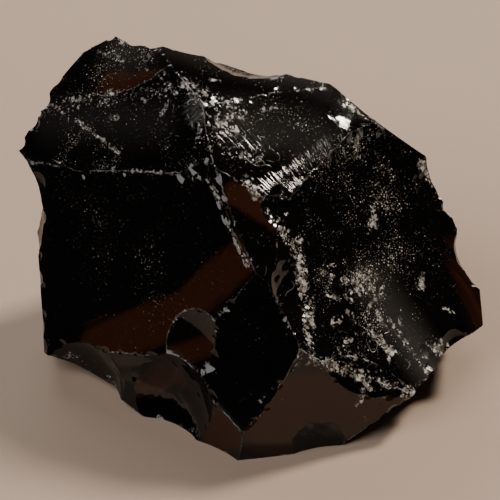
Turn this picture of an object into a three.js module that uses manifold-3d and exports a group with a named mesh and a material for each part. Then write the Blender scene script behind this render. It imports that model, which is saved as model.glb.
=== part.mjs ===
// A chunk of obsidian: one lump of black volcanic glass, about 30 mm across, standing on a flat
// fracture. Every face of it is the scar of a flake that came off, so it is made the way the stone
// was: a blank is struck until only the glass inside all of its scars is left.
// Millimetres, +Z up, origin on the floor under the middle of the stone.

import * as THREE from 'three';
import { mergeVertices } from 'three/addons/utils/BufferGeometryUtils.js';
import Module from 'manifold-3d';

// ---------------------------------------------------------------- driving dimensions

const BLANK_SIZE = 60;                       // side of the cube of glass that the flakes come off
const HEART = new THREE.Vector3(0, 1, 7);    // point inside the stone that scars are placed from
const COARSEST_STEP = 1.5;                   // longest facet edge on a curved scar
const STEP_PER_RADIUS = 0.07;                // facet edge as a share of the scar's own radius

// A scar lies on a compass bearing (degrees from +X towards +Y) and a slope (degrees above the
// horizon) as seen from the heart, at a distance "reach" from it. "dish" is the radius of a hollow
// scar and "bulge" that of a swelling one. A scar with neither is flat.

// The side that faces -Y: a high left half, a steep right face and a low prow between them.
const FRONT_SCARS = [
  { name: 'crown', bearing: 335, slope: 80, reach: 10.1, dish: 90 },
  { name: 'left_slope', bearing: 223, slope: 43, reach: 7.8, dish: 208 },
  { name: 'left_face', bearing: 232, slope: 29, reach: 6.4 },
  { name: 'left_skirt', bearing: 234, slope: 6, reach: 8.3, dish: 55 },
  { name: 'right_slope', bearing: 305, slope: 61, reach: 7.4, dish: 80 },
  { name: 'right_face', bearing: 320, slope: 37, reach: 6.5, dish: 42 },
  { name: 'saddle', bearing: 287, slope: 53, reach: 7.2, dish: 83 },
  { name: 'toe_hollow', bearing: 251, slope: 21, reach: 7.1, dish: 39 },
  { name: 'prow', bearing: 282, slope: 13, reach: 9.9, bulge: 60 },
];

// The two ends and the back, with the overhangs that the stone stands over.
const SIDE_SCARS = [
  { name: 'left_end', bearing: 182, slope: -5, reach: 13.8, dish: 60 },
  { name: 'left_crest', bearing: 170, slope: 40, reach: 16.7, bulge: 60 },
  { name: 'left_undercut', bearing: 208, slope: -55, reach: 10.8, dish: 40 },
  { name: 'right_shoulder', bearing: 38, slope: 41, reach: 12.5, dish: 90 },
  { name: 'right_end', bearing: 3, slope: 2, reach: 14.9 },
  { name: 'right_undercut', bearing: 338, slope: -53, reach: 10.5, dish: 60 },
  { name: 'rear_face', bearing: 74, slope: 27, reach: 10.7, dish: 60 },
  { name: 'rear_crest', bearing: 108, slope: 26, reach: 15.2, dish: 40 },
  { name: 'rear_left', bearing: 126, slope: -5, reach: 12.3, dish: 40 },
  { name: 'rear_right', bearing: 37, slope: 4, reach: 12.0, dish: 50 },
  { name: 'rear_undercut', bearing: 86, slope: -24, reach: 10.4, dish: 60 },
];

// Small flakes that bit into the edges between the big scars.
const CHIPS = [
  { name: 'temple', bearing: 199, slope: 52, reach: 10.4, dish: 40 },
  { name: 'brow', bearing: 211, slope: 58, reach: 8.1, dish: 3.5 },
  { name: 'crescent', bearing: 239, slope: 12, reach: 7.0, dish: 10.2 },
  { name: 'left_toe', bearing: 237, slope: -17, reach: 8.7, dish: 5.1 },
  { name: 'front_toe', bearing: 247, slope: -14, reach: 10.1, dish: 8.7 },
  { name: 'left_foot', bearing: 210, slope: -20, reach: 10.9, dish: 4.5 },
  { name: 'left_notch', bearing: 170, slope: 3, reach: 13.8, dish: 7 },
  { name: 'prow_top', bearing: 309, slope: 9, reach: 9.4, dish: 10 },
  { name: 'prow_foot', bearing: 290, slope: -20, reach: 11.9, dish: 6 },
  { name: 'spine_upper', bearing: 300, slope: 59, reach: 7.1, dish: 4 },
  { name: 'spine_lower', bearing: 303, slope: 29, reach: 6.8, dish: 5 },
  { name: 'corner', bearing: 14, slope: 58, reach: 10.3, dish: 6 },
  { name: 'shoulder', bearing: 4, slope: 24, reach: 11.1, dish: 4.5 },
  { name: 'heel', bearing: 335, slope: -1, reach: 11.5, dish: 4.5 },
  { name: 'right_notch', bearing: 7, slope: 1, reach: 13.6, dish: 4 },
  { name: 'right_foot', bearing: 18, slope: -16, reach: 14.4, dish: 7 },
  { name: 'crown_rim', bearing: 84, slope: 62, reach: 12.2, dish: 6 },
  { name: 'rear_rim', bearing: 101, slope: 46, reach: 13.0, dish: 9 },
  { name: 'rear_ridge', bearing: 97, slope: 2, reach: 11.9, dish: 8 },
  { name: 'rear_shoulder', bearing: 52, slope: 22, reach: 12.1, dish: 9 },
  { name: 'rear_corner', bearing: 138, slope: -22, reach: 12.2, dish: 9 },
];

// The flat fracture that the stone stands on.
const FOOT = { name: 'foot', bearing: 0, slope: -90, reach: HEART.z };

const GLASS = { color: 0x0b0908, roughness: 0.12, metalness: 0 };

// ---------------------------------------------------------------- solids

const ICOSAHEDRON_EDGE = 1.05;               // edge of an icosahedron as a share of its radius
const UP = new THREE.Vector3(0, 0, 1);

const wasm = await Module();
wasm.setup();

/** A closed three.js geometry as a solid that can be cut. */
function solidOf(geometry) {
  geometry.deleteAttribute('normal');
  geometry.deleteAttribute('uv');
  const merged = mergeVertices(geometry);
  return new wasm.Manifold(new wasm.Mesh({
    numProp: 3,
    vertProperties: merged.attributes.position.array,
    triVerts: new Uint32Array(merged.index.array),
  }));
}

/** A cut solid as a three.js geometry again. */
function geometryOf(solid) {
  const mesh = solid.getMesh();
  const geometry = new THREE.BufferGeometry();
  geometry.setAttribute('position', new THREE.BufferAttribute(mesh.vertProperties, mesh.numProp));
  geometry.setIndex(new THREE.BufferAttribute(mesh.triVerts, 1));
  geometry.computeVertexNormals();
  return geometry;
}

/** The unit vector from the heart towards a scar. */
function towards({ bearing, slope }) {
  const azimuth = THREE.MathUtils.degToRad(bearing);
  const climb = THREE.MathUtils.degToRad(slope);
  return new THREE.Vector3(
    Math.cos(azimuth) * Math.cos(climb),
    Math.sin(azimuth) * Math.cos(climb),
    Math.sin(climb),
  );
}

/** A ball with facets fine enough for its own curve. */
function ballAt(centre, radius) {
  const step = Math.min(COARSEST_STEP, radius * STEP_PER_RADIUS);
  const detail = Math.ceil(radius * ICOSAHEDRON_EDGE / step) - 1;
  const ball = new THREE.IcosahedronGeometry(radius, detail);
  return solidOf(ball.translate(centre.x, centre.y, centre.z));
}

/** A block that holds everything beyond the plane through a point, square to a direction. */
function blockBeyond(point, direction) {
  const block = new THREE.BoxGeometry(2 * BLANK_SIZE, 2 * BLANK_SIZE, BLANK_SIZE);
  block.translate(0, 0, BLANK_SIZE / 2);
  block.applyQuaternion(new THREE.Quaternion().setFromUnitVectors(UP, direction));
  return solidOf(block.translate(point.x, point.y, point.z));
}

/** What is left of the stone once the flake of one scar is off it. */
function strike(stone, scar) {
  const outward = towards(scar);
  const place = HEART.clone().addScaledVector(outward, scar.reach);
  if (scar.dish) {
    return stone.subtract(ballAt(place.addScaledVector(outward, scar.dish), scar.dish));
  }
  if (scar.bulge) {
    return stone.intersect(ballAt(place.addScaledVector(outward, -scar.bulge), scar.bulge));
  }
  return stone.subtract(blockBeyond(place, outward));
}

// ---------------------------------------------------------------- the stone

/** Moves a geometry sideways until its middle stands over the origin. */
function centreOverOrigin(geometry) {
  geometry.computeBoundingBox();
  const middle = geometry.boundingBox.getCenter(new THREE.Vector3());
  return geometry.translate(-middle.x, -middle.y, 0);
}

/** The whole chunk: the blank with every flake struck off it. */
function obsidianChunk() {
  const blank = solidOf(new THREE.BoxGeometry(BLANK_SIZE, BLANK_SIZE, BLANK_SIZE));
  const scars = [...FRONT_SCARS, ...SIDE_SCARS, ...CHIPS, FOOT];
  const stone = scars.reduce(strike, blank);
  const geometry = centreOverOrigin(geometryOf(stone));
  const chunk = new THREE.Mesh(geometry, new THREE.MeshStandardMaterial(GLASS));
  chunk.name = 'obsidian_chunk';
  return chunk;
}

const part = new THREE.Group();
part.add(obsidianChunk());

export default part;
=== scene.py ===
"""Obsidian chunk: a broken lump of black volcanic glass, about 30 mm across.

The CAD node gives the scars, the curved faces that flakes left when they flew off. The visible
stone is built again from those scars at a finer grain, with rippled faces, nibbled arrises and
crushed ridges, and dressed as worn black glass. Lengths are in millimetres until a mesh is written.
"""

import logging
from collections.abc import Callable
from dataclasses import dataclass, field, replace
from enum import Enum, IntEnum
from functools import partial, reduce
from math import cos, pi, radians, sin

import bmesh
import bpy
import numpy as np
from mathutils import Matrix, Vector, kdtree, noise


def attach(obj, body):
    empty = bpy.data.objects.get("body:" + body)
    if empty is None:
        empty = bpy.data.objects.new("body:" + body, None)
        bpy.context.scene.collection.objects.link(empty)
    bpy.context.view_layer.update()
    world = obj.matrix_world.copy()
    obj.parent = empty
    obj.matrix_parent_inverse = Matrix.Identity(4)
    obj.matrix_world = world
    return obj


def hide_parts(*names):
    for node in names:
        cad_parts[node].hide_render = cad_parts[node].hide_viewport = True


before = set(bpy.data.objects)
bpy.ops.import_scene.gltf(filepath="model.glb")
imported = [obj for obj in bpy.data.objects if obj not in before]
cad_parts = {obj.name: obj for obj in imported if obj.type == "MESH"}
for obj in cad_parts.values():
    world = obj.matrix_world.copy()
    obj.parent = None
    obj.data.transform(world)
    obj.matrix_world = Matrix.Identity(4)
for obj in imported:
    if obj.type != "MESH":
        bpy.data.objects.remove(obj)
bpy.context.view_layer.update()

Socket = bpy.types.NodeSocket
Tree = bpy.types.NodeTree
Adder = Callable[..., Socket]

MM = 0.001
PER_MM = 1000.0
STONE = "obsidian_chunk"
HEART = np.array((0.06, -0.66, 7.0))

log = logging.getLogger("obsidian")


class Form(IntEnum):
    """What a flake left behind."""

    FLAT = 0
    DISH = 1
    BULGE = 2


class Wear(Enum):
    """A mark that time or blows left on the glass, or a painted reflection, named as its mesh
    attribute.
    """

    CRUSH = "crush"
    DUST = "dust"
    HAZE = "haze"
    # Brown of thin glass, which also stands in for a painted warm reflection.
    SMOKE = "smoke_and_reflection"
    HACKLE = "hackle"
    SCRATCH = "scratch"


@dataclass(frozen=True)
class Scar:
    """One face of the stone, seen from its heart.

    Args:
        form: flat, dish or bulge.
        centre: a flat scar's outward unit normal, or the middle of the others' ball.
        reach: a flat scar's distance, or the ball's radius.
        struck: where the blow landed, from which the ripples spread.
        spacing: from crest to crest of the ripples.
        height: half the height of a ripple.
        swell: height of the slow swell of the whole face.
        fret: height of the fine unevenness that frets the rim of a small chip.
    """

    form: Form
    centre: tuple[float, float, float]
    reach: float
    struck: tuple[float, float, float] = (0.0, 0.0, 0.0)
    spacing: float = 1.0
    height: float = 0.0
    swell: float = 0.0
    fret: float = 0.0


@dataclass(frozen=True)
class Blow:
    """Where the blow landed that freed a flake, and the ripples that spread from it.

    Args:
        on: a point on the scar.
        struck: the point that was hit, from which ripples and hackles spread.
        spacing: from crest to crest of the ripples.
        height: half the height of a ripple.
    """

    on: tuple[float, float, float]
    struck: tuple[float, float, float]
    spacing: float = 1.6
    height: float = 0.008


@dataclass(frozen=True)
class Patch:
    """A stretch of the surface that carries one kind of wear, round a line.

    Args:
        wear: the kind of wear.
        start: one end of the line.
        end: its other end.
        reach: how far from the line the wear runs out.
        strength: the wear on the line.
        on: a point on the only scar that is worn, where the wear stops at its arrises.
    """

    wear: Wear
    start: tuple[float, float, float]
    end: tuple[float, float, float]
    reach: float
    strength: float = 1.0
    on: tuple[float, float, float] | None = None

    def weight(self, points: np.ndarray) -> np.ndarray:
        """Says how strongly the patch marks each point.

        Args:
            points: places on the stone, one row each.

        Returns:
            Strength on the line, falling smoothly to nothing at reach from it.
        """
        start, end = np.array(self.start), np.array(self.end)
        run = end - start
        share = np.clip((points - start) @ run / max(run @ run, 1e-9), 0.0, 1.0)
        away = np.linalg.norm(points - start - share[:, None] * run, axis=1) / self.reach
        return self.strength * np.clip(1.0 - away * away, 0.0, 1.0) ** 1.5


@dataclass(frozen=True)
class Scatter:
    """Small marks of one kind, scattered about a place.

    Args:
        middle: the middle of the cluster, whose ray from the heart meets the skin.
        spread: how far the marks scatter from it.
        count: how many there are.
        reach: the reach of the widest.
        wear: their kind.
        length: how long they are.
        kept: whether each stays on the scar where it begins.
    """

    middle: tuple[float, float, float]
    spread: float
    count: int
    reach: float
    wear: Wear = Wear.CRUSH
    length: float = 1.0
    kept: bool = False

    def patches(self, rng: np.random.Generator, surface: "Surface") -> list[Patch]:
        """Scatters the marks.

        Args:
            rng: source of the random draws.
            surface: the skin that they lie on.

        Returns:
            One short patch for each mark.
        """
        made = []
        out = np.array(self.middle) - HEART
        for _ in range(self.count):
            start = out + 0.6 * self.spread * rng.normal(size=3)
            start *= 1.0 if start @ out > 0.0 else -1.0
            rays = np.stack((start, start + 0.6 * self.length * rng.normal(size=3)))
            rays /= np.linalg.norm(rays, axis=1)[:, None]
            start, end = (tuple(p) for p in rays * surface.cast(rays)[0][:, None] + HEART)
            made.append(Patch(self.wear, start, end, self.reach * rng.uniform(0.4, 1.0),
                              rng.uniform(0.6, 1.0), start if self.kept else None))
        return made


BLOWS = (
    Blow((-7.6, -2.3, 9.4), (-14.7, 8.4, 17.3), 2.6, 0.010),
    Blow((-6.3, -6.8, 2.7), (-3.3, -6.9, 6.8), 0.9, 0.012),
    Blow((-7.7, 2.9, 15.3), (-0.8, 2.6, 19.0), 1.8, 0.012),
    Blow((7.1, -2.3, 9.5), (8.8, -6.9, 5.0), 2.2, 0.016),
    Blow((3.3, 2.6, 16.2), (8.8, -6.9, 5.0), 1.6, 0.014),
    Blow((0.7, -3.9, 13.5), (-1.6, -1.9, 16.0), 1.3, 0.014),
    Blow((6.1, -10.3, 2.7), (2.2, -10.5, 8.5), 1.8, 0.010),
    Blow((-1.2, -10.5, 1.2), (-1.0, -11.5, -0.4), 0.55, 0.012),
    Blow((-3.7, -7.5, 4.5), (-9.3, -6.5, 5.0), 1.4, 0.012),
    Blow((-9.0, 6.4, 16.8), (-3.8, 6.1, 19.5), 1.2, 0.012),
)

PATCHES = tuple(Patch(wear, *line) for wear, lines in {
    Wear.CRUSH: (
        # The spine between the two great faces, crushed white.
        ((-0.2, -2.3, 14.9), (3.2, -5.3, 10.6), 0.60, 0.75),
        ((3.2, -5.3, 10.6), (3.8, -7.3, 8.7), 0.70, 0.85),
        ((3.8, -7.3, 8.7), (3.8, -9.7, 7.0), 0.70, 0.9),
        # The ridge over the prow.
        ((3.5, -10.2, 7.0), (7.1, -9.0, 4.5), 0.60, 1.0),
        ((7.1, -9.0, 4.5), (10.4, -8.7, 2.9), 0.55, 0.8),
        ((3.5, -10.2, 7.0), (0.8, -10.9, 4.0), 0.30, 0.5),
        # The pale lower rim of the temple's crescent.
        ((-13.2, 7.1, 14.4), (-9.4, 5.7, 15.9), 0.8, 0.35),
        ((-9.4, 5.7, 15.9), (-5.4, 3.5, 17.8), 0.8, 0.35),
        # The crown's edge, and the peak where blow after blow fell.
        ((-9.8, 8.7, 17.7), (-4.5, 3.5, 18.7), 0.40, 0.5),
        ((-4.5, 3.5, 18.7), (-0.5, 1.9, 17.2), 0.6, 0.7),
        ((-0.5, 1.9, 17.2), (2.3, 3.1, 16.8), 0.35, 0.5),
        ((-3.8, 2.3, 18.3), (-2.4, 1.0, 17.3), 1.0, 0.4),
        ((-2.2, 1.0, 17.2), (-0.4, 0.2, 16.3), 0.9, 0.45),
        ((-1.4, -0.8, 16.1), (0.5, -0.9, 15.5), 0.6, 0.4),
        # The brow over the left face, and the left face's right-hand arris.
        ((-12.7, 3.8, 12.2), (-2.6, -2.3, 15.0), 0.15, 0.25),
        ((-2.6, -2.3, 15.0), (-0.1, -6.7, 11.4), 0.22, 0.9),
        # Chips along the right end and the shoulder, which glint.
        ((12.0, -5.3, 4.2), (13.4, -5.1, 3.2), 0.9, 0.9),
        ((6.2, 4.7, 16.3), (8.8, 4.0, 15.0), 0.6, 0.7),
        ((11.2, 3.7, 12.2), (13.6, 2.5, 9.6), 0.6, 0.8),
        # The left foot's edge.
        ((-11.8, -3.5, 1.8), (-8.8, -5.5, 0.9), 0.5, 0.6),
        ((-6.4, -7.9, 0.8), (-3.8, -9.5, 0.4), 0.7, 0.4),
    ),
    Wear.DUST: (
        # Dust on the faces that look up.
        ((-11.0, 3.7, 13.0), (-9.4, 3.1, 13.6), 2.8, 1.0),
        ((-10.8, 5.1, 15.0), (-2.8, 0.6, 16.5), 5.0, 0.5),
        ((-9.8, 8.1, 18.0), (6.2, 6.1, 16.5), 3.6, 0.75),
        ((-0.3, 0.6, 16.5), (5.7, 2.6, 15.3), 4.0, 0.55),
        ((7.2, 1.1, 12.5), (7.7, -3.9, 8.0), 7.0, 0.9),
        ((-9.8, 0.1, 11.0), (-4.8, -3.9, 8.0), 6.0, 0.3),
        ((1.2, -4.9, 12.0), (2.2, -7.9, 8.0), 3.0, 0.35),
    ),
    Wear.HAZE: (
        # Glass dulled by handling.
        ((-7.8, 8.0, 18.2), (7.0, 6.0, 16.4), 3.0, 0.9),
        ((8.1, -3.7, 7.6), (11.6, -6.7, 3.4), 2.4, 1.0),
        ((-0.3, 1.3, 16.8), (4.2, 1.9, 15.6), 3.0, 0.5),
        ((-12.8, 6.1, 14.0), (-5.8, 2.6, 16.0), 2.4, 0.4),
    ),
    Wear.SMOKE: (
        # Brown at the feet, the rims and the crests: partly thin glass, partly a painted warm
        # reflection.
        ((2.2, -11.0, 3.0), (9.7, -9.3, 2.4), 4.5, 1.0, (6.1, -10.3, 2.7)),
        ((-2.2, -10.1, 1.5), (0.4, -11.1, 1.4), 2.4, 1.0, (-1.2, -10.5, 1.2)),
        ((-8.8, -5.9, 1.0), (-4.8, -7.1, 3.0), 1.9, 0.6, (-6.3, -7.1, 2.6)),
        ((-5.8, -6.9, 3.6), (-2.4, -7.9, 6.0), 1.5, 0.8, (-2.8, -7.9, 5.0)),
        ((-9.7, -4.5, 3.4), (-4.4, -6.2, 7.2), 2.3, 1.0, (-7.6, -2.3, 9.4)),
        ((-4.4, -6.2, 7.2), (-0.5, -6.3, 11.7), 1.9, 1.0, (-7.6, -2.3, 9.4)),
        ((-9.4, 6.3, 16.8), (-5.7, 4.4, 18.0), 1.4, 0.9, (-9.0, 6.4, 16.8)),
        ((-0.8, -3.2, 14.4), (3.2, -4.5, 11.6), 1.3, 0.9, (0.7, -3.9, 13.5)),
        ((13.6, 0.1, 8.0), (14.8, -2.9, 4.2), 1.8, 0.5, (7.1, -2.3, 9.5)),
    ),
    Wear.HACKLE: (
        # Glass that tore instead of splitting clean.
        ((1.3, -2.5, 14.2), (5.5, 0.8, 15.0), 1.6, 0.6),
        ((5.5, 0.8, 15.0), (7.7, 2.9, 14.9), 2.0, 0.9),
        ((-3.4, 1.7, 17.6), (0.2, -0.1, 15.8), 1.8, 0.35),
    ),
    Wear.SCRATCH: (
        ((5.8, -8.0, 6.5), (11.0, -6.1, 4.3), 1.8, 0.7),
        ((0.4, -6.4, 11.0), (2.6, -6.7, 9.0), 1.2, 0.6),
        ((-3.8, 2.1, 18.0), (0.7, -0.1, 15.8), 1.8, 0.9),
    ),
}.items() for line in lines)

SCATTERS = (
    # Bruises on the right face.
    Scatter((8.0, -4.6, 7.2), 2.4, 19, 0.36),
    Scatter((5.7, -5.3, 8.4), 1.6, 12, 0.36),
    Scatter((7.9, -0.6, 10.4), 0.3, 2, 0.5),
    Scatter((7.8, -7.2, 5.4), 2.0, 12, 0.33),
    # Bruises at the peak, by the spine and on the crown.
    Scatter((-2.3, 0.7, 17.0), 1.6, 8, 0.35),
    Scatter((2.6, -4.8, 11.6), 0.7, 5, 0.45),
    Scatter((-6.0, 6.0, 18.5), 2.5, 8, 0.30),
    # Bruises, torn glass, brown thin glass that also paints a warm reflection, dust and scratches
    # on the far side.
    Scatter((1.0, 12.0, 9.0), 11.0, 60, 0.36),
    Scatter((1.0, 12.0, 9.0), 9.0, 8, 1.5, Wear.HACKLE, 2.5),
    Scatter((1.0, 12.0, 6.0), 10.0, 8, 2.6, Wear.SMOKE, 3.0, True),
    Scatter((1.0, 12.0, 12.0), 10.0, 10, 3.4, Wear.DUST, 3.0),
    Scatter((1.0, 12.0, 8.0), 10.0, 9, 1.3, Wear.SCRATCH, 2.5),
)


def linear(colour: str) -> tuple[float, float, float, float]:
    """Turns an sRGB hex colour into the linear colour that a shader takes.

    Args:
        colour: six hex digits, such as "b9b4ae".

    Returns:
        Linear red, green and blue, and an alpha of 1.
    """
    parts = [int(colour[i:i + 2], 16) / 255.0 for i in (0, 2, 4)]
    return (*(p / 12.92 if p <= 0.04045 else ((p + 0.055) / 1.055) ** 2.4 for p in parts), 1.0)


def add_node(tree: Tree, kind: str, inputs: dict | None = None,
             output: int | str = 0, **settings: object) -> Socket:
    """Adds a node to a tree with its settings, its values and its links.

    Args:
        tree: the node tree that gets the node.
        kind: the shader node's type, such as "Math".
        inputs: for each input, by name or place, a socket to link or a plain value.
        output: the output that is wanted, by name or place.
        settings: the node's own properties.

    Returns:
        The wanted output, or the node's first input where it has no outputs.
    """
    node = tree.nodes.new("ShaderNode" + kind)
    for name, value in settings.items():
        setattr(node, name, value)
    for key, value in (inputs or {}).items():
        if isinstance(value, Socket):
            tree.links.new(value, node.inputs[key])
        else:
            node.inputs[key].default_value = value
    return node.outputs[output] if len(node.outputs) else node.inputs[0]


@dataclass
class ScarReader:
    """Reads the scars off the CAD solid, whose curved faces are fine facets.

    Args:
        node: the CAD node.
        turn: neighbouring facets that turn less than this share a scar.
        sliver: facets smaller than this, in square mm, belong to no scar.
        least: scars smaller than this, in square mm, are left to their neighbours.
        slack: how far a facet's corner may lie from its scar.
        level: how far the corners of a flat scar may lie from one plane.
        flattest: a ball with a larger radius counts as flat.
    """

    node: str
    turn: float = radians(5.5)
    sliver: float = 0.001
    least: float = 0.25
    slack: float = 0.03
    level: float = 0.004
    flattest: float = 400.0

    def read(self) -> list[Scar]:
        """Finds every scar of the solid, the largest first.

        Returns:
            The scars, each once, as seen from the heart.
        """
        bm = bmesh.new()
        bm.from_mesh(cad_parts[self.node].data)
        bmesh.ops.remove_doubles(bm, verts=bm.verts, dist=1e-6)
        corners = np.array([v.co for v in bm.verts]) * PER_MM - HEART
        found: list[Scar] = []
        for region in self._regions(bm):
            rows = np.array(sorted({v.index for face in region for v in face.verts}))
            normal = sum((face.normal * face.calc_area() for face in region), Vector())
            scar = self._fit(corners[rows], np.array(normal.normalized()))
            if any(self._lies_on(other, corners[rows]) for other in found):
                continue
            if self._spares(scar, corners):
                found.append(scar)
        bm.free()
        return found

    def _regions(self, bm: bmesh.types.BMesh) -> list[list[bmesh.types.BMFace]]:
        """Groups the facets that run smoothly into each other.

        Args:
            bm: the solid, with its corners merged.

        Returns:
            The groups that are large enough to be scars, the largest first.
        """
        size = {f: f.calc_area() / MM ** 2 for f in bm.faces}
        left = {f for f in bm.faces if size[f] > self.sliver}
        regions = []
        for seed in sorted(left, key=lambda f: f.index):
            if seed not in left:
                continue
            left.discard(seed)
            region, queue = [seed], [seed]
            while queue:
                face = queue.pop()
                for edge in face.edges:
                    for other in edge.link_faces:
                        if other in left and face.normal.angle(other.normal) < self.turn:
                            left.discard(other)
                            region.append(other)
                            queue.append(other)
            regions.append(region)
        areas = [sum(size[f] for f in region) for region in regions]
        order = sorted(range(len(regions)), key=lambda i: -areas[i])
        return [regions[i] for i in order if areas[i] > self.least]

    def _fit(self, points: np.ndarray, normal: np.ndarray) -> Scar:
        """Fits a plane to a region's corners, or a ball where they are not level.

        Args:
            points: the region's corners, from the heart.
            normal: the region's mean outward normal.

        Returns:
            The scar that the corners lie on.
        """
        middle = points.mean(axis=0)
        local = points - middle
        if np.abs(local @ normal).max() < self.level or len(points) < 6:
            return Scar(Form.FLAT, tuple(normal), float(middle @ normal))
        table = np.hstack((2.0 * local, np.ones((len(local), 1))))
        answer = np.linalg.lstsq(table, (local ** 2).sum(axis=1), rcond=None)[0]
        radius = float(np.sqrt(answer[3] + answer[:3] @ answer[:3]))
        if radius > self.flattest:
            return Scar(Form.FLAT, tuple(normal), float(middle @ normal))
        form = Form.DISH if answer[:3] @ normal > 0.0 else Form.BULGE
        return Scar(form, tuple(middle + answer[:3]), radius)

    def _lies_on(self, scar: Scar, points: np.ndarray) -> bool:
        """Tells whether all the points lie on the scar's plane or ball."""
        centre = np.array(scar.centre)
        if scar.form is Form.FLAT:
            return bool(np.abs(points @ centre - scar.reach).max() < self.slack)
        away = np.linalg.norm(points - centre, axis=1)
        return bool(np.abs(away - scar.reach).max() < self.slack)

    def _spares(self, scar: Scar, corners: np.ndarray) -> bool:
        """Tells whether the scar cuts no more from the stone than the solid's corners allow."""
        depth = np.linalg.norm(corners, axis=1)
        lengths = Surface([scar]).lengths(corners / depth[:, None], np.zeros(len(corners), int))
        return bool((lengths < depth - 0.1).mean() < 0.01)


class Surface:
    """The stone's skin as the least of its scars' distances from the heart."""

    def __init__(self, scars: list[Scar], slow: np.ndarray | None = None,
                 fine: np.ndarray | None = None) -> None:
        """Stores the scars as arrays.

        Args:
            scars: every scar.
            slow: wave vectors of the slow swell, one row each.
            fine: wave vectors of the fine fretting, one row each.
        """
        self.forms = np.array([s.form for s in scars])
        self.centres, self.struck = (np.array([getattr(s, name) for s in scars], float)
                                     for name in ("centre", "struck"))
        self.reaches, self.spacing, self.height, self.swell, self.fret = (
            np.array([getattr(s, name) for s in scars], float)
            for name in ("reach", "spacing", "height", "swell", "fret"))
        self.slow, self.fine = slow, fine

    def lengths(self, rays: np.ndarray, owners: np.ndarray) -> np.ndarray:
        """Measures from the heart along each ray to one scar.

        Args:
            rays: unit directions, one row each.
            owners: the scar that each ray is measured to.

        Returns:
            The distances, infinite where a ray misses.
        """
        centre, reach, form = self.centres[owners], self.reaches[owners], self.forms[owners]
        along = np.einsum("ij,ij->i", rays, centre)
        gap = reach ** 2 - np.einsum("ij,ij->i", centre, centre) + along ** 2
        root = np.sqrt(np.maximum(gap, 0.0))
        ahead = along > 1e-6
        flat = np.where(ahead, reach / np.where(ahead, along, 1.0), np.inf)
        dish = np.where((gap > 0.0) & ahead, along - root, np.inf)
        found = np.select([form == Form.FLAT, form == Form.DISH], [flat, dish], along + root)
        hit = np.isfinite(found)
        found[hit] += self.relief(found[hit, None] * rays[hit], owners[hit])
        return found

    def relief(self, points: np.ndarray, owners: np.ndarray) -> np.ndarray:
        """Gives the swell of a scar, its fretting and the ripples that spread from its blow.

        Args:
            points: places near the scars, from the heart.
            owners: the scar of each point.

        Returns:
            How far each point stands proud.
        """
        proud = np.zeros(len(points))
        if self.slow is not None and self.swell[owners].any():
            slow = np.sin(points @ self.slow.T + owners[:, None] * 1.7).mean(axis=1)
            away = np.linalg.norm(points - self.struck[owners], axis=1)
            ripple = np.sin(2.0 * pi * away / self.spacing[owners] + 3.0 * slow)
            proud += self.swell[owners] * slow
            proud += self.height[owners] * ripple * (0.55 + 0.9 * slow)
        if self.fine is not None and self.fret[owners].any():
            fine = np.sin(points @ self.fine.T + owners[:, None] * 2.3).mean(axis=1)
            proud += self.fret[owners] * fine
        return proud

    def cast(self, rays: np.ndarray) -> tuple[np.ndarray, np.ndarray]:
        """Finds the skin along each ray.

        Args:
            rays: unit directions, one row each.

        Returns:
            The distance to the skin, and the scar that forms it there.
        """
        best = np.full(len(rays), np.inf)
        owner = np.zeros(len(rays), int)
        for k, form in enumerate(self.forms):
            rows = np.arange(len(rays))
            if form == Form.DISH:
                away = np.linalg.norm(self.centres[k])
                cone = np.sqrt(max(0.0, 1.0 - (self.reaches[k] / away) ** 2))
                rows = np.nonzero(rays @ (self.centres[k] / away) > cone)[0]
            found = self.lengths(rays[rows], np.full(len(rows), k))
            closer = found < best[rows]
            best[rows[closer]] = found[closer]
            owner[rows[closer]] = k
        return best, owner

    def normals(self, points: np.ndarray, owners: np.ndarray) -> np.ndarray:
        """Gives each scar's outward normal at a point on it.

        Args:
            points: places on the skin, from the heart.
            owners: the scar of each point.

        Returns:
            Unit normals, one row each.
        """
        centre, reach, form = self.centres[owners], self.reaches[owners], self.forms[owners]
        spoke = (points - centre) / reach[:, None]
        return np.where((form == Form.FLAT)[:, None], centre,
                        np.where((form == Form.DISH)[:, None], -spoke, spoke))


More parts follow.
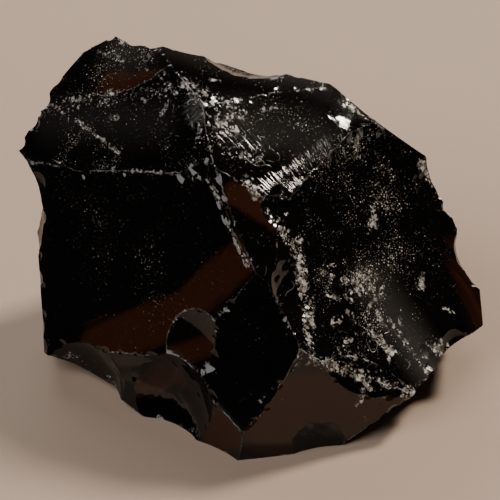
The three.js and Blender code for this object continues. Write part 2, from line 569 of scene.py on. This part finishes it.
@dataclass(frozen=True)
class WornObsidian:
    """Obsidian, a natural glass that breaks into mirror-smooth dished faces.

    Fresh faces are black and mirror-like. Crushed arrises scatter light and look white, dust
    lies on the upper faces, and thin edges let a little brown through; that brown also stands
    in for a painted warm reflection on several faces.

    Args:
        name: the material's name.
        glass: colour of thick glass.
        smoke_and_reflection: colour of thin glass, which also paints a warm reflection.
        frost: colour of crushed glass.
        dust: colour of dust.
        roughness: roughness of a fresh face.
        ior: index of refraction of volcanic glass.
        specks: spacing, share and brightness of each size of dust. The finest is drawn
            coarser than the real dust's 0.02 mm, which would not show.
        hair: width of a hackle.
        shards: sizes of the bits of crushed glass.
        bend: how far their sides are bent.
        veil: share of dust colour where the glass is wholly dulled.
        dulled: roughness that dulling adds.
        frost_roughness: roughness of crushed glass.
        dust_roughness: roughness of dust.
        ripple_depth: depth of the finest ripples.
        torn_depth: depth of the hackles.
        grit_depth: depth of the grit on crushed glass.
    """

    name: str = "obsidian_conchoidal_fracture"
    glass: str = "060505"
    smoke_and_reflection: str = "2b160c"
    frost: str = "d2cec8"
    dust: str = "e2dacd"
    roughness: float = 0.06
    ior: float = 1.48
    specks: tuple[tuple[float, float, float], ...] = (
        (0.26, 0.4, 1.0), (0.13, 0.9, 0.8), (0.075, 1.0, 0.55))
    hair: float = 0.08
    shards: tuple[float, ...] = (0.22, 0.10)
    bend: float = 0.30
    veil: float = 0.022
    dulled: float = 0.22
    frost_roughness: float = 0.45
    dust_roughness: float = 0.8
    ripple_depth: float = 0.004
    torn_depth: float = 0.09
    grit_depth: float = 0.05

    def build(self) -> bpy.types.Material:
        """Makes the material.

        Returns:
            The finished material.
        """
        material = bpy.data.materials.new(self.name)
        material.use_nodes = True
        tree = material.node_tree
        tree.nodes.clear()
        add = partial(add_node, tree)
        place = add("TexCoord", output="Object")
        wear = {w: add("Attribute", output="Fac", attribute_name=w.value) for w in Wear}
        arris = add("Attribute", output="Fac", attribute_name="arris")
        blow = add("Attribute", output="Vector", attribute_name="blow")
        pale = self._frost(add, place, arris, wear[Wear.CRUSH])
        for mark in (self._hackles(add, place, blow, wear[Wear.HACKLE]),
                     self._scratches(add, place, wear[Wear.SCRATCH])):
            pale = add("Math", {0: pale, 1: mark}, operation="MAXIMUM")
        dusty = self._dusty(add, place, wear[Wear.DUST])
        # The brown mixed in here is partly thin glass and partly a painted warm reflection.
        smoke_and_reflection_colour = add("Mix", {0: self._smoke_and_reflection_streaks(add, blow, wear[Wear.SMOKE]), 6: linear(self.glass),
                            7: linear(self.smoke_and_reflection)}, output=2, data_type="RGBA")
        hazy = add("Math", {0: wear[Wear.HAZE], 1: self.veil}, operation="MULTIPLY")
        veiled = add("Mix", {0: hazy, 6: smoke_and_reflection_colour, 7: linear(self.dust)}, output=2, data_type="RGBA")
        dusted = add("Mix", {0: dusty, 6: veiled, 7: linear(self.dust)}, output=2,
                     data_type="RGBA")
        colour = add("Mix", {0: pale, 6: dusted, 7: linear(self.frost)}, output=2,
                     data_type="RGBA")
        dulled = add("Math", {0: wear[Wear.HAZE], 1: self.dulled, 2: self.roughness},
                     operation="MULTIPLY_ADD")
        rough = add("Mix", {0: pale, 2: dulled, 3: self.frost_roughness})
        rough = add("Mix", {0: dusty, 2: rough, 3: self.dust_roughness})
        shader = add("BsdfPrincipled", {"Base Color": colour, "Roughness": rough, "IOR": self.ior,
                                        "Normal": self._bump(add, place, blow, pale,
                                                             wear[Wear.HACKLE])})
        add("OutputMaterial", {"Surface": shader})
        return material

    def _frost(self, add: Adder, place: Socket, arris: Socket, crush: Socket) -> Socket:
        """Whitens arrises: a hair's width on sound ones, scattered shards on crushed ones.

        Args:
            add: adds a node to the material.
            place: the point on the stone.
            arris: its distance to the nearest arris.
            crush: how crushed the glass is there.

        Returns:
            The share of frosted glass.
        """
        grain = add("TexNoise", {"Vector": place, "Scale": PER_MM / 0.22, "Detail": 5.0,
                                 "Roughness": 0.75})
        slow = add("TexNoise", {"Vector": place, "Scale": PER_MM / 1.3, "Detail": 3.0})
        width = add("MapRange", {"Value": grain, "From Min": 0.40, "From Max": 0.65,
                                 "To Min": 0.02, "To Max": 0.07})
        ratio = add("Math", {0: arris, 1: width}, operation="DIVIDE")
        line = add("MapRange", {"Value": ratio, "From Min": 0.5, "From Max": 1.1, "To Min": 1.0,
                                "To Max": 0.0})
        often = add("MapRange", {"Value": slow, "From Min": 0.44, "From Max": 0.62,
                                 "To Min": 0.03, "To Max": 0.28})
        often = add("Math", {0: crush, 1: 0.5, 2: often}, operation="MULTIPLY_ADD")
        pale = add("Math", {0: line, 1: often}, operation="MULTIPLY")
        patchy = add("MapRange", {"Value": slow, "From Min": 0.40, "From Max": 0.60,
                                  "To Min": 0.15, "To Max": 1.0})
        share = add("Math", {0: crush, 1: patchy}, operation="MULTIPLY")
        bent = add("VectorMath", {0: grain.node.outputs["Color"], 1: (self.bend * MM,) * 3,
                                  2: place}, operation="MULTIPLY_ADD")
        for size in self.shards:
            cells = add("TexVoronoi", {"Vector": bent, "Scale": PER_MM / size}, output="Color")
            draws = add("SeparateColor", {"Color": cells}, output="Red")
            lit = add("Math", {0: share, 1: draws}, operation="SUBTRACT")
            lit = add("Math", {0: lit, 1: 8.0}, operation="MULTIPLY", use_clamp=True)
            shine = add("Math", {0: draws.node.outputs["Green"], 1: 2.6}, operation="POWER")
            flash = add("Math", {0: lit, 1: shine}, operation="MULTIPLY")
            pale = add("Math", {0: pale, 1: flash}, operation="MAXIMUM", use_clamp=True)
        return pale

    def _hackles(self, add: Adder, place: Socket, blow: Socket, hackle: Socket) -> Socket:
        """Draws hackles, the fine torn lines that run away from a blow.

        Args:
            add: adds a node to the material.
            place: the point on the stone.
            blow: distance from the blow, distance round it, and the scar's own number.
            hackle: where the glass tore.

        Returns:
            The share of torn glass.
        """
        drawn = add("Mapping", {"Vector": blow, "Scale": (1.1, 0.5 / self.hair, 1.0)})
        lines = add("TexNoise", {"Vector": drawn, "Scale": 1.0, "Detail": 3.0, "Distortion": 0.2})
        level = add("Math", {0: hackle, 1: 0.22, 2: lines}, operation="MULTIPLY_ADD")
        torn = add("MapRange", {"Value": level, "From Min": 0.72, "From Max": 0.92, "To Min": 0.0,
                                "To Max": 0.6})
        breaks = add("TexNoise", {"Vector": place, "Scale": PER_MM / 0.5, "Detail": 4.0,
                                  "Roughness": 0.7})
        breaks = add("MapRange", {"Value": breaks, "From Min": 0.40, "From Max": 0.66})
        return add("Math", {0: torn, 1: breaks}, operation="MULTIPLY")

    def _scratches(self, add: Adder, place: Socket, scratch: Socket) -> Socket:
        """Draws a few hair-thin curved scratches as the level lines of a slow noise.

        Args:
            add: adds a node to the material.
            place: the point on the stone.
            scratch: where the glass is scratched.

        Returns:
            The share of scratched glass.
        """
        slow = add("TexNoise", {"Vector": place, "Scale": PER_MM / 1.8, "Detail": 1.0})
        turns = add("Math", {0: slow, 1: 7.0}, operation="MULTIPLY")
        saw = add("Math", {0: turns, 1: 0.5}, operation="PINGPONG")
        hair = add("MapRange", {"Value": saw, "From Min": 0.0, "From Max": 0.05, "To Min": 0.7,
                                "To Max": 0.0})
        breaks = add("TexNoise", {"Vector": place, "Scale": PER_MM / 0.7, "Detail": 2.0})
        shown = add("MapRange", {"Value": breaks, "From Min": 0.52, "From Max": 0.60})
        hair = add("Math", {0: hair, 1: shown}, operation="MULTIPLY")
        return add("Math", {0: hair, 1: scratch}, operation="MULTIPLY", use_clamp=True)

    def _smoke_and_reflection_streaks(self, add: Adder, blow: Socket, smoke_and_reflection: Socket) -> Socket:
        """Draws brown in streaks that follow the ripples: thin glass's own brown, and a painted
        warm reflection.

        Args:
            add: adds a node to the material.
            blow: distance from the blow, distance round it, and the scar's own number.
            smoke_and_reflection: where the glass is thin, or a warm reflection is painted.

        Returns:
            The share of brown.
        """
        drawn = add("Mapping", {"Vector": blow, "Scale": (1.5, 0.16, 1.0)})
        bands = add("TexNoise", {"Vector": drawn, "Scale": 1.0, "Detail": 5.0, "Roughness": 0.6})
        level = add("Math", {0: smoke_and_reflection, 1: 0.9, 2: bands}, operation="MULTIPLY_ADD")
        return add("MapRange", {"Value": level, "From Min": 0.72, "From Max": 1.15},
                   interpolation_type="SMOOTHSTEP")

    def _dusty(self, add: Adder, place: Socket, dust: Socket) -> Socket:
        """Scatters dust of several sizes, thickly where it has gathered.

        Args:
            add: adds a node to the material.
            place: the point on the stone.
            dust: how dusty the glass is there.

        Returns:
            The share of dust.
        """
        drift = add("TexNoise", {"Vector": place, "Scale": PER_MM / 2.2, "Detail": 4.0})
        drift = add("MapRange", {"Value": drift, "From Min": 0.36, "From Max": 0.66,
                                 "To Min": 0.1, "To Max": 1.0})
        dense = add("Math", {0: dust, 1: 0.85, 2: 0.12}, operation="MULTIPLY_ADD")
        dense = add("Math", {0: dense, 1: drift}, operation="MULTIPLY")
        layers = []
        for spacing, share, strength in self.specks:
            cells = add("TexVoronoi", {"Vector": place, "Scale": PER_MM / spacing},
                        output="Distance")
            chance = add("SeparateColor", {"Color": cells.node.outputs["Color"]}, output="Red")
            bright = chance.node.outputs["Green"]
            most = add("Math", {0: dense, 1: share}, operation="MULTIPLY")
            spare = add("Math", {0: most, 1: chance}, operation="SUBTRACT")
            size = add("MapRange", {"Value": spare, "From Min": 0.0, "From Max": 0.6,
                                    "To Min": 0.12, "To Max": 0.55})
            there = add("Math", {0: spare, 1: 0.0}, operation="GREATER_THAN")
            rim = add("Math", {0: size, 1: cells}, operation="SUBTRACT")
            spot = add("MapRange", {"Value": rim, "From Min": 0.0, "From Max": 0.12,
                                    "To Min": 0.0, "To Max": strength})
            bright = add("Math", {0: bright, 1: 1.4}, operation="POWER")
            spot = add("Math", {0: spot, 1: there}, operation="MULTIPLY")
            layers.append(add("Math", {0: spot, 1: bright}, operation="MULTIPLY"))
        return reduce(lambda one, other: add("Math", {0: one, 1: other}, operation="MAXIMUM",
                                             use_clamp=True), layers)

    def _bump(self, add: Adder, place: Socket, blow: Socket, pale: Socket,
              hackle: Socket) -> Socket:
        """Adds the relief that is finer than the mesh: faint ripples, hackles and crushed grit.

        Args:
            add: adds a node to the material.
            place: the point on the stone.
            blow: distance from the blow, distance round it, and the scar's own number.
            pale: the share of broken glass.
            hackle: where the glass tore.

        Returns:
            The bumped normal.
        """
        drawn = add("Mapping", {"Vector": blow, "Scale": (2.6, 0.14, 1.0)})
        ripple = add("TexNoise", {"Vector": drawn, "Scale": 1.0, "Detail": 3.0, "Roughness": 0.5})
        ripple = add("Math", {0: ripple, 1: self.ripple_depth * MM}, operation="MULTIPLY")
        drawn = add("Mapping", {"Vector": blow, "Scale": (0.5, 0.5 / self.hair, 1.0)})
        torn = add("TexNoise", {"Vector": drawn, "Scale": 1.0, "Detail": 3.0})
        torn = add("Math", {0: torn, 1: hackle}, operation="MULTIPLY")
        torn = add("Math", {0: torn, 1: self.torn_depth * MM, 2: ripple},
                   operation="MULTIPLY_ADD")
        grit = add("TexNoise", {"Vector": place, "Scale": PER_MM / 0.12, "Detail": 3.0})
        grit = add("Math", {0: grit, 1: pale}, operation="MULTIPLY")
        height = add("Math", {0: grit, 1: self.grit_depth * MM, 2: torn},
                     operation="MULTIPLY_ADD")
        return add("Bump", {"Height": height, "Strength": 1.0, "Distance": 1.0})


@dataclass
class ObsidianChunk:
    """The visible stone.

    Args:
        blows: the blows whose ripples are known; other scars get ripples of their own.
        patches: where the surface is worn.
        scatters: clusters of small marks.
        finish: the stone's material.
        grain: how often the ball that becomes the skin is divided.
        refinings: how often the mesh is divided again along the arrises.
        coarsest: the longest edge that the skin may keep.
        worn_edge: the longest edge that it may keep inside crushed patches.
        nibbles: small chips along the arrises.
        swell: height of the slow swell of every face.
        small: the radius below which a dish counts as a chip.
        fret: height of the unevenness of a chip.
        nibble_radius: the least radius of a nibble, and how much larger it may be.
        nibble_bite: the least and the greatest depth of a nibble.
        sharp: an arris turns at least this much where it is nibbled.
        kink: an arris turns at least this much where the mesh is divided.
        crease: edges that turn more than this are shaded hard.
        pits: size and depth of the pits that cover crushed glass.
        seed: seed of every random draw.
    """

    blows: tuple[Blow, ...] = BLOWS
    patches: tuple[Patch, ...] = PATCHES
    scatters: tuple[Scatter, ...] = SCATTERS
    finish: WornObsidian = field(default_factory=WornObsidian)
    grain: int = 7
    refinings: int = 2
    coarsest: float = 0.42
    worn_edge: float = 0.13
    nibbles: int = 420
    swell: float = 0.11
    small: float = 7.0
    fret: float = 0.08
    nibble_radius: tuple[float, float] = (0.5, 2.6)
    nibble_bite: tuple[float, float] = (0.01, 0.05)
    sharp: float = radians(14.0)
    kink: float = radians(7.0)
    crease: float = radians(13.0)
    pits: tuple[tuple[float, float], ...] = ((0.62, 0.075), (0.27, 0.035))
    seed: int = 11

    def build(self) -> bpy.types.Object:
        """Builds the stone, dresses it and puts it in the CAD node's place.

        Returns:
            The finished piece.
        """
        self.rng = np.random.default_rng(self.seed)
        slow, fine = self._waves(7, 5.0, 9.0), self._waves(12, 0.5, 2.6)
        scars = self._struck(ScarReader(STONE).read())
        log.info("%s: %d scars read", STONE, len(scars))
        self.bare = Surface(scars, slow, fine)
        self.chips = np.array([s.fret > 0.0 for s in scars])
        self.marks = self.patches + tuple(
            mark for cluster in self.scatters for mark in cluster.patches(self.rng, self.bare))
        bm = bmesh.new()
        bmesh.ops.create_icosphere(bm, subdivisions=self.grain, radius=1.0)
        self.skin = Surface(scars + self._nibbled(bm), slow, fine)
        for _ in range(self.refinings):
            self._refine(bm)
        rays = self._snap(bm)
        lengths, _ = self.skin.cast(rays)
        owners = self.bare.cast(rays)[1]
        lengths -= self._crumbled(rays * lengths[:, None], owners)
        points = rays * lengths[:, None]
        for vert, point in zip(bm.verts, (points + HEART) * MM):
            vert.co = point
        self._shade(bm)
        mesh = bpy.data.meshes.new(STONE + "_skin")
        bm.to_mesh(mesh)
        bm.free()
        self._write_wear(mesh, points, owners)
        piece = bpy.data.objects.new(STONE + "_skin", mesh)
        bpy.context.collection.objects.link(piece)
        mesh.materials.append(self.finish.build())
        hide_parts(STONE)
        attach(piece, "root")
        return piece

    def _waves(self, count: int, shortest: float, longest: float) -> np.ndarray:
        """Draws wave vectors with random headings.

        Args:
            count: how many.
            shortest: the shortest wave.
            longest: the longest.

        Returns:
            The wave vectors, one row each.
        """
        heading = self.rng.normal(size=(count, 3))
        heading /= np.linalg.norm(heading, axis=1)[:, None]
        return heading * (2.0 * pi / self.rng.uniform(shortest, longest, count))[:, None]

    def _struck(self, scars: list[Scar]) -> list[Scar]:
        """Gives every scar its swell and the ripples of its blow, and leaves the foot level.

        Args:
            scars: the smooth scars.

        Returns:
            The same scars with their relief.
        """
        rng = self.rng
        smooth = Surface(scars)
        rays = np.array([b.on for b in self.blows]) - HEART
        known = smooth.cast(rays / np.linalg.norm(rays, axis=1)[:, None])[1]
        shaped = []
        for k, scar in enumerate(scars):
            turn, rise = rng.uniform(0.0, 2.0 * pi), rng.uniform(0.1, 1.0)
            struck = 13.0 * np.array((cos(turn), sin(turn), rise))
            spacing, height = rng.uniform(1.3, 2.4), rng.uniform(0.008, 0.018)
            for blow in (b for b, owner in zip(self.blows, known) if owner == k):
                struck = np.array(blow.struck) - HEART
                spacing, height = blow.spacing, blow.height
            foot = scar.form is Form.FLAT and scar.centre[2] < -0.99
            chip = scar.form is Form.DISH and scar.reach < self.small
            shaped.append(replace(scar, struck=tuple(struck), spacing=spacing,
                                  height=0.0 if foot else height,
                                  swell=0.0 if foot else self.swell,
                                  fret=self.fret if chip else 0.0))
        return shaped

    def _rays(self, bm: bmesh.types.BMesh) -> np.ndarray:
        """Gives the unit direction of every vertex."""
        rays = np.array([v.co for v in bm.verts])
        return rays / np.linalg.norm(rays, axis=1)[:, None]

    def _pairs(self, bm: bmesh.types.BMesh) -> np.ndarray:
        """Gives the two vertices of every edge."""
        bm.verts.index_update()
        return np.array([(e.verts[0].index, e.verts[1].index) for e in bm.edges])

    def _amount(self, points: np.ndarray, wear: Wear, owners: np.ndarray) -> np.ndarray:
        """Gives the amount of one kind of wear.

        Args:
            points: places on the stone, from the heart.
            wear: the kind.
            owners: the scar of each point, small chips aside.

        Returns:
            Its amount at each point, from 0 to 1.
        """
        total = np.zeros(len(points))
        for patch in (p for p in self.marks if p.wear is wear):
            weight = patch.weight(points + HEART)
            if patch.on is not None:
                ray = np.array(patch.on) - HEART
                weight *= owners == self.bare.cast(ray[None] / np.linalg.norm(ray))[1][0]
            total = np.maximum(total, weight)
        return total

    def _nibbled(self, bm: bmesh.types.BMesh) -> list[Scar]:
        """Strikes small flakes off the arrises.

        Args:
            bm: the ball, not yet refined.

        Returns:
            The dishes that the flakes leave.
        """
        rng = self.rng
        rays, pairs = self._rays(bm), self._pairs(bm)
        lengths, owners = self.bare.cast(rays)
        points = rays * lengths[:, None]
        normals = self.bare.normals(points, owners)
        left, right = pairs.T
        bend = np.einsum("ij,ij->i", normals[left], normals[right])
        sharp = (owners[left] != owners[right]) & (bend < cos(self.sharp))
        sharp &= points[left, 2] > 0.8 - HEART[2]
        edges = (points[left[sharp]] + points[right[sharp]]) / 2.0
        one, other = normals[left[sharp]], normals[right[sharp]]
        share = 0.35 + self._amount(edges, Wear.CRUSH, owners[left[sharp]])
        chips = []
        for i in rng.choice(len(edges), self.nibbles, p=share / share.sum()):
            near, far = (one[i], other[i]) if rng.random() < 0.5 else (other[i], one[i])
            lean = near + rng.uniform(0.08, 0.4) * (far - near) + 0.1 * rng.normal(size=3)
            lean /= np.linalg.norm(lean)
            least, more = self.nibble_radius
            radius, bite = least + more * rng.random() ** 2.5, rng.uniform(*self.nibble_bite)
            chips.append(Scar(Form.DISH, tuple(edges[i] + lean * (radius - bite)), radius,
                              fret=0.7 * bite + 0.01))
        return chips

    def _refine(self, bm: bmesh.types.BMesh) -> None:
        """Divides the mesh where it crosses an arris, or is coarse for the wear it carries.

        Args:
            bm: the ball.
        """
        rays, pairs = self._rays(bm), self._pairs(bm)
        lengths, owners = self.skin.cast(rays)
        points = rays * lengths[:, None]
        normals = self.skin.normals(points, owners)
        left, right = pairs.T
        span = np.linalg.norm(points[left] - points[right], axis=1)
        bend = np.einsum("ij,ij->i", normals[left], normals[right])
        broken = (owners[left] != owners[right]) & (bend < cos(self.kink)) & (span > 0.09)
        crush = self._amount(points, Wear.CRUSH, owners)
        coarse = (span > self.coarsest) | ((span > self.worn_edge) & (crush[left] > 0.4))
        edges = [e for e, wanted in zip(bm.edges, broken | coarse) if wanted]
        faces = dict.fromkeys(f for e in edges for f in e.link_faces)
        edges = list(dict.fromkeys(e for f in faces for e in f.edges))
        bmesh.ops.subdivide_edges(bm, edges=edges, cuts=1, use_grid_fill=True)
        bmesh.ops.triangulate(bm, faces=[f for f in bm.faces if len(f.verts) > 3])
        for vert in bm.verts:
            vert.co.normalize()

    def _snap(self, bm: bmesh.types.BMesh) -> np.ndarray:
        """Slides the vertices next to an arris onto it, so that it runs straight and sharp.

        Args:
            bm: the refined ball.

        Returns:
            The direction of every vertex.
        """
        rays, pairs = self._rays(bm), self._pairs(bm)
        lengths, owners = self.skin.cast(rays)
        across = pairs[owners[pairs[:, 0]] != owners[pairs[:, 1]]]
        moved = rays.copy()
        nearest = np.full(len(rays), 0.5)
        for here, there in (across.T, across.T[::-1]):
            mine = self.skin.lengths(rays[here], owners[there]) - lengths[here]
            yours = self.skin.lengths(rays[there], owners[here]) - lengths[there]
            total = np.where(np.isfinite(mine + yours), mine + yours, 0.0)
            share = np.where(total > 1e-9, mine / np.maximum(total, 1e-9), 1.0)
            for i, j, part in zip(here, there, share):
                if part < nearest[i]:
                    nearest[i] = part
                    moved[i] = rays[i] + part * (rays[j] - rays[i])
        return moved / np.linalg.norm(moved, axis=1)[:, None]

    def _crumbled(self, points: np.ndarray, owners: np.ndarray) -> np.ndarray:
        """Covers crushed glass with small pits whose rims meet, as after many light knocks.

        Args:
            points: places on the skin, from the heart.
            owners: the scar of each point.

        Returns:
            How deep each point sinks.
        """
        crush = self._amount(points, Wear.CRUSH, owners)
        sunk = np.zeros(len(points))
        for i in np.nonzero(crush > 0.05)[0]:
            spot = Vector(points[i])
            patchy = min(1.0, max(0.0, 0.7 + 1.6 * noise.noise(spot / 0.9)))
            for size, depth in self.pits:
                pit = noise.voronoi(spot / size)[0][0]
                sunk[i] += crush[i] * patchy * depth * max(0.0, 1.0 - (pit / 0.75) ** 2)
        return sunk

    def _shade(self, bm: bmesh.types.BMesh) -> None:
        """Shades the faces smooth and keeps the arrises hard.

        Args:
            bm: the finished skin.
        """
        bm.normal_update()
        for face in bm.faces:
            face.smooth = True
        for edge in bm.edges:
            edge.smooth = edge.calc_face_angle(0.0) < self.crease

    def _write_wear(self, mesh: bpy.types.Mesh, points: np.ndarray, owners: np.ndarray) -> None:
        """Writes the wear, the distance to an arris and the blow of each vertex on the mesh.

        Args:
            mesh: the finished skin.
            points: its vertices, from the heart.
            owners: the scar of each vertex, small chips aside.
        """
        ends = np.array([e.vertices for e in mesh.edges])
        one, other = owners[ends].T
        rims = points[ends[(one != other) & ~self.chips[one] & ~self.chips[other]]].mean(axis=1)
        tree = kdtree.KDTree(len(rims))
        for row, point in enumerate(rims):
            tree.insert(point, row)
        tree.balance()
        values = {"arris": np.array([min(tree.find(p)[2], 3.0) for p in points])}
        for wear in Wear:
            values[wear.value] = self._amount(points, wear, owners)
        for name, value in values.items():
            layer = mesh.attributes.new(name, "FLOAT", "POINT")
            layer.data.foreach_set("value", value.astype(np.float32))
        blow = np.zeros((len(points), 3), np.float32)
        for k in np.unique(owners):
            rows = np.nonzero(owners == k)[0]
            spoke = points[rows] - self.bare.struck[k]
            normal = self.bare.normals(points[rows], owners[rows]).mean(axis=0)
            normal /= np.linalg.norm(normal)
            along = spoke.mean(axis=0)
            along -= (along @ normal) * normal
            away = np.linalg.norm(along)
            along /= away
            turn = np.arctan2(spoke @ np.cross(normal, along), spoke @ along)
            blow[rows] = np.stack((np.linalg.norm(spoke, axis=1), turn * away,
                                   np.full(len(rows), 3.7 * k)), axis=1)
        layer = mesh.attributes.new("blow", "FLOAT_VECTOR", "POINT")
        layer.data.foreach_set("vector", blow.ravel())


@dataclass(frozen=True)
class Lamp:
    """A soft studio lamp.

    Args:
        name: the lamp's name.
        place: where it stands, from the stone's foot.
        size: the sides of its face.
        power: its power in watts.
        colour: its colour.
    """

    name: str
    place: tuple[float, float, float]
    size: tuple[float, float]
    power: float
    colour: str = "ffffff"


@dataclass
class Studio:
    """The floor, the lamps, the surroundings and the camera.

    Args:
        floor_colour: colour of the floor.
        floor_size: its side.
        lamps: the lamps.
        surroundings: what the glass mirrors where no lamp or floor is.
        backdrop: what the camera sees beyond the floor.
        aim: the point that the camera looks at.
        elevation: how high the camera stands.
        distance: its distance from the aim.
        lens: its focal length.
    """

    floor_colour: str = "b09c8c"
    floor_size: float = 1600.0
    lamps: tuple[Lamp, ...] = (
        Lamp("key", (260.0, 210.0, 330.0), (70.0, 70.0), 2.6, "fff1e2"),
        Lamp("fill", (-330.0, -240.0, 420.0), (420.0, 420.0), 2.3, "fffaf4"),
        Lamp("back", (-120.0, 420.0, 300.0), (320.0, 160.0), 0.9, "ffffff"),
    )
    surroundings: str = "26211f"
    backdrop: str = "8a7d76"
    aim: tuple[float, float, float] = (0.06, -1.66, 9.0)
    elevation: float = radians(35.0)
    distance: float = 179.0
    lens: float = 200.0

    def build(self) -> None:
        """Sets up the whole studio."""
        self._floor()
        for lamp in self.lamps:
            self._light(lamp)
        self._world()
        self._camera()

    def _floor(self) -> None:
        """Lays a plain pale floor under the stone."""
        bm = bmesh.new()
        bmesh.ops.create_grid(bm, x_segments=1, y_segments=1, size=self.floor_size / 2 * MM)
        mesh = bpy.data.meshes.new("floor")
        bm.to_mesh(mesh)
        bm.free()
        floor = bpy.data.objects.new("floor", mesh)
        bpy.context.collection.objects.link(floor)
        material = bpy.data.materials.new("matt_painted_board")
        material.use_nodes = True
        shader = material.node_tree.nodes["Principled BSDF"]
        shader.inputs["Base Color"].default_value = linear(self.floor_colour)
        shader.inputs["Roughness"].default_value = 0.9
        mesh.materials.append(material)

    def _light(self, lamp: Lamp) -> None:
        """Hangs a lamp that faces the stone.

        Args:
            lamp: the lamp.
        """
        data = bpy.data.lights.new(lamp.name, "AREA")
        data.shape = "RECTANGLE"
        data.size, data.size_y = (side * MM for side in lamp.size)
        data.energy = lamp.power
        data.color = linear(lamp.colour)[:3]
        light = bpy.data.objects.new(lamp.name, data)
        light.location = Vector(lamp.place) * MM
        towards = Vector((0.0, 0.0, 8.0)) * MM - light.location
        light.rotation_euler = towards.to_track_quat("-Z", "Y").to_euler()
        bpy.context.collection.objects.link(light)

    def _world(self) -> None:
        """Darkens the surroundings, which the glass mirrors, behind a calmer backdrop."""
        world = bpy.data.worlds.new("studio")
        world.use_nodes = True
        tree = world.node_tree
        tree.nodes.clear()
        dark = add_node(tree, "Background", {"Color": linear(self.surroundings)})
        seen = add_node(tree, "Background", {"Color": linear(self.backdrop)})
        direct = add_node(tree, "LightPath", output="Is Camera Ray")
        both = add_node(tree, "MixShader", {0: direct, 1: dark, 2: seen})
        add_node(tree, "OutputWorld", {"Surface": both})
        bpy.context.scene.world = world

    def _camera(self) -> None:
        """Sets the camera at a maker's viewing height in front of the stone."""
        data = bpy.data.cameras.new("camera")
        data.lens, data.sensor_width = self.lens, 36.0
        data.clip_start, data.clip_end = 0.005, 10.0
        camera = bpy.data.objects.new("camera", data)
        back = Vector((0.0, -cos(self.elevation), sin(self.elevation)))
        camera.location = (Vector(self.aim) + back * self.distance) * MM
        camera.rotation_euler = (-back).to_track_quat("-Z", "Y").to_euler()
        bpy.context.collection.objects.link(camera)
        bpy.context.scene.camera = camera


def main() -> None:
    """Builds the studio and the stone."""
    logging.basicConfig(level=logging.INFO, format="%(name)s: %(message)s")
    Studio().build()
    piece = ObsidianChunk().build()
    log.info("%s: %d triangles", piece.name, len(piece.data.polygons))


if __name__ == "__main__":
    main()
